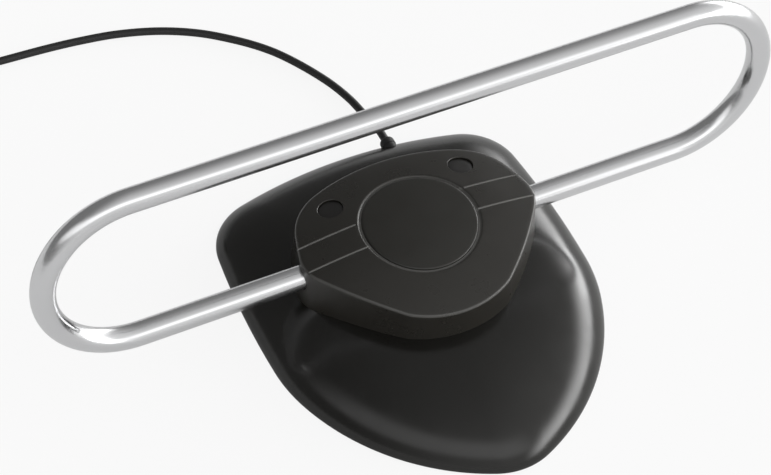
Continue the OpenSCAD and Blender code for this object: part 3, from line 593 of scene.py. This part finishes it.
# The lead's fittings
relief_start = np.array([20.4, 74.4, 6.4]) * mm
plug_rear = np.array([-185, 138, 6]) * mm
tie_turn = math.radians(-60)
tie_half_w = 2.5 * mm
strap_reach = 6.1 * mm
strap_rise = 5.9 * mm
strap_corner_r = 2.2 * mm
strap_t = 0.6 * mm
bundle_z = 5.9 * mm
plug_sharp_edge = math.radians(35)


def make_relief():
    """Flange behind the base's wall, neck through it, and the short collar with a rounded end."""
    profile = [(3.7, 0), (3.7, 1.6), (3.0, 1.6), (3.0, 7.1), (3.2, 7.1), (3.2, 9.0), (3.16, 9.5),
               (3.02, 9.95), (2.78, 10.35), (2.46, 10.65), (2.1, 10.83), (1.85, 10.9)]
    relief = turned("collar", np.array(profile) * mm, relief_start, (0, 1, 0), 64)
    relief.data.set_sharp_from_angle(angle=sharp_edge)
    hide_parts("strain_relief")
    return relief


def rounded_loop(half_w, half_h, r, per_corner=8):
    """Closed outline of a rectangle with rounded corners, as points (across, up), anticlockwise."""
    turn = np.linspace(0, math.pi / 2, per_corner)
    corners = []
    for k, (sx, sy) in enumerate([(1, 1), (-1, 1), (-1, -1), (1, -1)]):
        a = turn + k * math.pi / 2
        corners.append(np.stack([sx * (half_w - r) + r * np.cos(a), sy * (half_h - r) + r * np.sin(a)], -1))
    return np.vstack(corners)


def on_bundle(across, along, up):
    """Place on the coil at the tie: across and up in the bundle's section, along in its direction."""
    x = coil_r + across
    return np.stack([coil_centre[0] + x * math.cos(tie_turn) - along * math.sin(tie_turn),
                     coil_centre[1] + x * math.sin(tie_turn) + along * math.cos(tie_turn),
                     bundle_z + up], -1)


def make_tie():
    """Flat strap round the bundle: a rounded section carried round a rounded rectangle. Its locking
    head is a rounded block outside the coil with the strap's cut end standing out of it. Each block is
    given by its start and stop across the bundle, half its width and height, and its corner radius."""
    outer = rounded_loop(strap_reach, strap_rise, strap_corner_r)
    inner = rounded_loop(strap_reach - strap_t, strap_rise - strap_t, strap_corner_r - strap_t)
    middle = (outer + inner) / 2
    out = (outer - inner) / 2
    section = [(-1, -0.8), (-0.7, -1), (0.7, -1), (1, -0.8), (1, 0.8), (0.7, 1), (-0.7, 1), (-1, 0.8)]
    rings = []
    for depth, side in section:
        ring = middle + depth * out
        rings.append(on_bundle(ring[:, 0], np.full(len(ring), side * tie_half_w), ring[:, 1]))
    grid = np.stack(rings, 1)
    rows, columns = grid.shape[:2]
    i, j = np.meshgrid(np.arange(rows), np.arange(columns), indexing="ij")
    next_row = (i + 1) % rows * columns
    next_column = (j + 1) % columns
    quads = [i * columns + j, i * columns + next_column, next_row + next_column, next_row + j]
    points = [grid.reshape(-1, 3)]
    faces = np.stack(quads, -1).reshape(-1, 4).tolist()
    locking_head = (5.9, 9.0, 3.0, 2.0, 0.5)
    cut_end = (6.6, 7.2, 1.9, 4.4, 0.25)
    for start, stop, half_w, half_h, r in (locking_head, cut_end):
        block = rounded_loop(half_w * mm, half_h * mm, r * mm, 5)
        steps = ((start, 0.12), (start + 0.1, 0), (stop - 0.3, 0), (stop - 0.08, 0.1), (stop, 0.3))
        block_rings = []
        for x, shrink in steps:
            along, up = (block * (1 - shrink / half_w)).T
            block_rings.append(on_bundle(np.full(len(block), x * mm), along, up))
        block_points, block_faces = capped(np.array(block_rings))
        first = sum(len(part) for part in points)
        points.append(block_points)
        faces += [[v + first for v in face] for face in block_faces]
    tie = outward(new_piece("tie_strap", np.vstack(points), faces))
    tie.data.set_sharp_from_angle(angle=sharp_edge)
    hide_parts("cable_tie")
    return tie


def make_plug():
    """The aerial plug, turned about its own axis: a moulded body with fine grip ribs, a nickel sleeve
    with a rolled edge and a collar in the body, and a pin with a rounded point."""
    axis = (0, -1, 0)
    body_profile = [(2.55, 0), (2.75, 0.25), (3.15, 5), (3.6, 5.9), (5.0, 6.9), (5.7, 7.5), (6.0, 8.2),
                    (6.0, 9.4), (6.0, 9.6), (6.0, 10), (6.0, 19), (6.0, 19.4), (6.0, 19.6), (6.0, 22.6),
                    (5.85, 23.5), (5.5, 23.9), (5.28, 24), (5.28, 20.05), (2, 20.05)]
    body = turned("plug_grip", np.array(body_profile) * mm, plug_rear, axis, sides=192,
                  ribs=32, rib_d=0.45 * mm, ribbed=(9.5 * mm, 19.5 * mm))
    sleeve_profile = [(1.3, 20), (5.25, 20), (5.25, 24), (4.75, 24), (4.75, 32.2), (4.7, 32.7),
                      (4.5, 33), (4.2, 33), (4.02, 32.8), (4.0, 32.4), (4.0, 22), (1.3, 22)]
    sleeve = turned("plug_barrel", np.array(sleeve_profile) * mm, plug_rear, axis, 96)
    pin_profile = [(1.2, 20), (1.2, 32), (1.16, 32.35), (1.02, 32.68), (0.78, 32.88), (0.45, 32.97),
                   (0.15, 33)]
    pin = turned("plug_contact", np.array(pin_profile) * mm, plug_rear, axis, 48)
    for piece, node, slot_name in ((body, "plug_body", "plug_plastic"),
                                   (sleeve, "plug_sleeve", "plug_nickel"),
                                   (pin, "plug_pin", "pin_brass")):
        piece.data.set_sharp_from_angle(angle=plug_sharp_edge)
        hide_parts(node)
    return body, sleeve, pin


relief = make_relief()
tie = make_tie()
plug_body, plug_sleeve, plug_pin = make_plug()
lead = make_lead()


# Materials
def new_material(name, colour, roughness, metallic=0.0, specular=0.5):
    """A plain shader whose fixed values sit on its own sockets."""
    material = bpy.data.materials.new(name)
    material.use_nodes = True
    shader = material.node_tree.nodes["Principled BSDF"]
    shader.inputs["Base Color"].default_value = (*colour, 1)
    shader.inputs["Roughness"].default_value = roughness
    shader.inputs["Metallic"].default_value = metallic
    shader.inputs["Specular IOR Level"].default_value = specular
    return material


def add_node(material, kind, **settings):
    """A new node in a material or the world. A setting that names an input sets it, any other sets the
    node's own property."""
    node = material.node_tree.nodes.new(kind)
    for key, value in settings.items():
        if key in node.inputs:
            node.inputs[key].default_value = value
        else:
            setattr(node, key, value)
    return node


def join(material, source, target):
    """Links one node's output to another's input."""
    material.node_tree.links.new(source, target)


def noise(material, scale, detail=3.0, stretch=(1, 1, 1)):
    """Cloudy pattern on Object coordinates, its grain stretched along an axis where asked."""
    place = add_node(material, "ShaderNodeTexCoord")
    mapping = add_node(material, "ShaderNodeMapping")
    mapping.inputs["Scale"].default_value = stretch
    pattern = add_node(material, "ShaderNodeTexNoise", Scale=scale, Detail=detail)
    join(material, place.outputs["Object"], mapping.inputs["Vector"])
    join(material, mapping.outputs["Vector"], pattern.inputs["Vector"])
    return pattern.outputs["Fac"]


def spread(material, factor, low, high):
    """Maps a 0 to 1 pattern to values between low and high."""
    node = add_node(material, "ShaderNodeMapRange")
    node.inputs["From Min"].default_value = 0.3
    node.inputs["From Max"].default_value = 0.7
    node.inputs["To Min"].default_value = low
    node.inputs["To Max"].default_value = high
    join(material, factor, node.inputs["Value"])
    return node.outputs["Result"]


def add_bump(material, height, strength, distance):
    """Fine relief of a pattern on the shader's normal."""
    bump = add_node(material, "ShaderNodeBump", Strength=strength, Distance=distance)
    join(material, height, bump.inputs["Height"])
    join(material, bump.outputs["Normal"], material.node_tree.nodes["Principled BSDF"].inputs["Normal"])


def tint(material, factor, dark, light):
    """Colour that goes from dark to light with a pattern."""
    mix = add_node(material, "ShaderNodeMix", data_type="RGBA")
    mix.inputs["A"].default_value = (*dark, 1)
    mix.inputs["B"].default_value = (*light, 1)
    join(material, factor, mix.inputs["Factor"])
    join(material, mix.outputs["Result"], material.node_tree.nodes["Principled BSDF"].inputs["Base Color"])


def moulded(name, dark, light, roughness, grain=0.05):
    """Moulded plastic: faint clouds of colour and gloss over a very fine moulding grain."""
    material = new_material(name, dark, roughness)
    tint(material, noise(material, 60), dark, light)
    shader = material.node_tree.nodes["Principled BSDF"]
    gloss = spread(material, noise(material, 90), roughness - 0.04, roughness + 0.04)
    join(material, gloss, shader.inputs["Roughness"])
    add_bump(material, noise(material, 3500, 2.0), grain, 0.0001)
    return material


def with_painted_highlights(material, colour):
    """Lays a lighter colour, a painted highlight, where the head cover's grooves, ring and rounded edge are
    marked.
    """
    shader = material.node_tree.nodes["Principled BSDF"]
    below = shader.inputs["Base Color"].links[0].from_socket
    mark = add_node(material, "ShaderNodeAttribute", attribute_name="painted_highlight")
    mix = add_node(material, "ShaderNodeMix", data_type="RGBA")
    mix.inputs["B"].default_value = (*colour, 1)
    join(material, mark.outputs["Fac"], mix.inputs["Factor"])
    join(material, below, mix.inputs["A"])
    join(material, mix.outputs["Result"], shader.inputs["Base Color"])
    return material


def metal(name, colour, roughness, grain=0.05, stretch=(1, 1, 1), scale=400):
    """Metal with a faint worked grain, stretched along the direction in which it was drawn."""
    material = new_material(name, colour, roughness, metallic=1.0)
    shader = material.node_tree.nodes["Principled BSDF"]
    gloss = spread(material, noise(material, scale, 4.0, stretch), roughness * 0.8, roughness * 1.2)
    join(material, gloss, shader.inputs["Roughness"])
    add_bump(material, noise(material, scale * 3, 2.0, stretch), grain, 0.00005)
    return material


finishes = {
    "base_plastic": moulded("satin_base", (0.0065, 0.0061, 0.005), (0.0082, 0.0077, 0.0062), 0.2),
    "dark_plastic": moulded("matt_black_plate", (0.012, 0.012, 0.012), (0.016, 0.016, 0.016), 0.55,
                            grain=0.2),
    "ballast_steel": metal("zinc_plate", (0.45, 0.46, 0.48), 0.42),
    "foot_rubber": moulded("foot_rubber", (0.02, 0.02, 0.02), (0.03, 0.03, 0.03), 0.8, grain=0.3),
    "screw_steel": metal("zinc_screw", (0.55, 0.56, 0.58), 0.35),
    # The head's second, lighter colour is a painted highlight on its grooves, ring and rounded edge
    "head_plastic": with_painted_highlights(
        moulded("satin_head", (0.0155, 0.0143, 0.0116), (0.019, 0.0173, 0.014), 0.3), (0.16, 0.158, 0.15)),
    "cradle_plastic": moulded("natural_carrier", (0.5, 0.47, 0.4), (0.56, 0.53, 0.46), 0.5),
    "disc_plastic": moulded("satin_disc", (0.014, 0.0132, 0.0106), (0.017, 0.016, 0.0126), 0.32),
    "plug_cap_plastic": moulded("satin_cap", (0.008, 0.0073, 0.0065), (0.01, 0.009, 0.008), 0.34),
    "tube_chrome": metal("satin_chrome", (0.72, 0.722, 0.73), 0.22, stretch=(0.03, 1, 1), scale=900),
    "joiner_plastic": moulded("natural_joiner", (0.6, 0.57, 0.5), (0.66, 0.63, 0.56), 0.5),
    "clip_brass": metal("spring_brass", (0.7, 0.5, 0.25), 0.3),
    "board_laminate": moulded("green_laminate", (0.02, 0.11, 0.045), (0.03, 0.13, 0.055), 0.4),
    "ferrite": moulded("dull_ferrite", (0.04, 0.04, 0.043), (0.06, 0.06, 0.064), 0.6, grain=0.4),
    "lead_jacket": moulded("matt_jacket", (0.006, 0.006, 0.006), (0.009, 0.009, 0.009), 0.5, grain=0.2),
    "relief_rubber": moulded("matt_boot", (0.008, 0.008, 0.008), (0.011, 0.011, 0.011), 0.55, grain=0.2),
    "tie_plastic": moulded("black_strap", (0.01, 0.01, 0.01), (0.014, 0.014, 0.014), 0.5),
    "plug_plastic": moulded("matt_plug", (0.009, 0.009, 0.009), (0.013, 0.013, 0.013), 0.5, grain=0.3),
    "plug_nickel": metal("bright_nickel", (0.7, 0.67, 0.62), 0.16),
    "pin_brass": metal("turned_brass", (0.75, 0.58, 0.3), 0.22),
}


def dress(piece, slot_name):
    """Gives a piece its slot's finish alone."""
    piece.data.materials.clear()
    piece.data.materials.append(finishes[slot_name])


for piece, slot_name in ((lead, "lead_jacket"), (relief, "relief_rubber"), (tie, "tie_plastic"),
                         (plug_body, "plug_plastic"), (plug_sleeve, "plug_nickel"), (plug_pin, "pin_brass"),
                         (base_shell, "base_plastic"), (head_shell, "head_plastic"),
                         (disc, "disc_plastic"), (loop, "tube_chrome"),
                         *((cap, "plug_cap_plastic") for cap in caps)):
    dress(piece, slot_name)
for subpart in frame["record"]["subparts"]:
    dress(nodes[subpart["node"]], subpart["material_slot"])


# Floor, background and lamps
floor_size = 8
floor_colour = 0.82
floor_white = 0.88
floor_white_in_gloss = 0.2
room_white_in_gloss = 0.1
room_dark = 0.12
room_light = 0.75
right_strip = 7.0
front_strip = 0.95
softbox_place = (1.49, 0.54, 0.26)
softbox_target = (0, 0, 0.03)
softbox_size = (0.5, 0.35)
softbox_power = 1.6


def plain_white_share(owner, camera, mirrored):
    """How much of what a ray finds is plain white: one share for the camera's own rays, another for
    rays that gloss or glass sends on, none for the light that falls on the object."""
    path = add_node(owner, "ShaderNodeLightPath")
    share = add_node(owner, "ShaderNodeMath", operation="MULTIPLY")
    share.inputs[1].default_value = camera
    join(owner, path.outputs["Is Camera Ray"], share.inputs[0])
    for kind in ("Is Glossy Ray", "Is Transmission Ray"):
        more = add_node(owner, "ShaderNodeMath", operation="MULTIPLY_ADD")
        more.inputs[1].default_value = mirrored
        join(owner, path.outputs[kind], more.inputs[0])
        join(owner, share.outputs["Value"], more.inputs[2])
        share = more
    return share.outputs["Value"]


def white_ground():
    """Large pale floor. The camera sees it mostly plain white and for the rest by its lit colour, so
    that it stays white and keeps a soft shadow. Gloss sees it mostly as it is lit."""
    bpy.ops.mesh.primitive_plane_add(size=floor_size, location=(0, 0, 0))
    floor = bpy.context.object
    floor.name = "floor"
    material = new_material("pale_floor", (floor_colour,) * 3, 0.9, specular=0.0)
    shader, out = (material.node_tree.nodes[name] for name in ("Principled BSDF", "Material Output"))
    white = add_node(material, "ShaderNodeEmission")
    white.inputs["Color"].default_value = (1, 1, 1, 1)
    white.inputs["Strength"].default_value = 1.0
    mix = add_node(material, "ShaderNodeMixShader")
    join(material, plain_white_share(material, floor_white, floor_white_in_gloss), mix.inputs["Fac"])
    join(material, shader.outputs["BSDF"], mix.inputs[1])
    join(material, white.outputs["Emission"], mix.inputs[2])
    join(material, mix.outputs["Shader"], out.inputs["Surface"])
    floor.data.materials.append(material)


def studio_room():
    """White room for the camera. Light and gloss come from a plain room that is grey at the rear left
    and white in front, with a long low strip light at the right and a weaker, higher one in front.
    Each part is a smooth step of the direction's product with a fixed vector."""
    world = bpy.data.worlds.new("studio")
    world.use_nodes = True
    bpy.context.scene.world = world
    background = world.node_tree.nodes["Background"]
    place = add_node(world, "ShaderNodeTexCoord")

    def glow(towards, start, end, low, high):
        """Smooth step from low to high as a direction's product with a vector goes from start to end."""
        dot = add_node(world, "ShaderNodeVectorMath", operation="DOT_PRODUCT")
        dot.inputs[1].default_value = towards
        step = add_node(world, "ShaderNodeMapRange", interpolation_type="SMOOTHSTEP")
        for key, value in (("From Min", start), ("From Max", end), ("To Min", low), ("To Max", high)):
            step.inputs[key].default_value = value
        join(world, place.outputs["Generated"], dot.inputs[0])
        join(world, dot.outputs["Value"], step.inputs["Value"])
        return step.outputs["Result"]

    def both(operation, one, other):
        """Two values put together by one operation."""
        maths = add_node(world, "ShaderNodeMath", operation=operation)
        join(world, one, maths.inputs[0])
        join(world, other, maths.inputs[1])
        return maths.outputs["Value"]

    up = (0.0, 0.0, 1.0)
    low = both("MULTIPLY", glow(up, 0.0, 0.1, 0.0, 1.0), glow(up, 0.2, 0.5, 1.0, 0.0))
    high = both("MULTIPLY", glow(up, 0.35, 0.5, 0.0, 1.0), glow(up, 0.7, 0.85, 1.0, 0.0))
    strip = both("MULTIPLY", low, glow((0.99, -0.1, 0.0), 0.4, 0.9, 0.0, right_strip))
    front = both("MULTIPLY", high, glow((-0.5, -0.87, 0.0), 0.15, 0.6, 0.0, front_strip))
    room = glow((0.55, -0.6, 0.0), -0.45, 0.6, room_dark, room_light)
    mix = add_node(world, "ShaderNodeMix", data_type="FLOAT")
    join(world, both("ADD", both("ADD", room, strip), front), mix.inputs["A"])
    mix.inputs["B"].default_value = 1.0
    join(world, plain_white_share(world, 1.0, room_white_in_gloss), mix.inputs["Factor"])
    join(world, mix.outputs["Result"], background.inputs["Strength"])
    background.inputs["Color"].default_value = (1, 1, 1, 1)


def add_lamp(name, place, target, size, power):
    """A rectangular softbox that faces its target and isn't seen itself."""
    data = bpy.data.lights.new(name, "AREA")
    data.shape = "RECTANGLE"
    data.size, data.size_y = size
    data.energy = power
    lamp = bpy.data.objects.new(name, data)
    bpy.context.collection.objects.link(lamp)
    lamp.location = place
    lamp.rotation_euler = (Vector(target) - Vector(place)).to_track_quat("-Z", "Y").to_euler()
    lamp.visible_camera = False


white_ground()
studio_room()
add_lamp("right_softbox", softbox_place, softbox_target, softbox_size, softbox_power)

scene = bpy.context.scene
scene.view_settings.view_transform = "Standard"
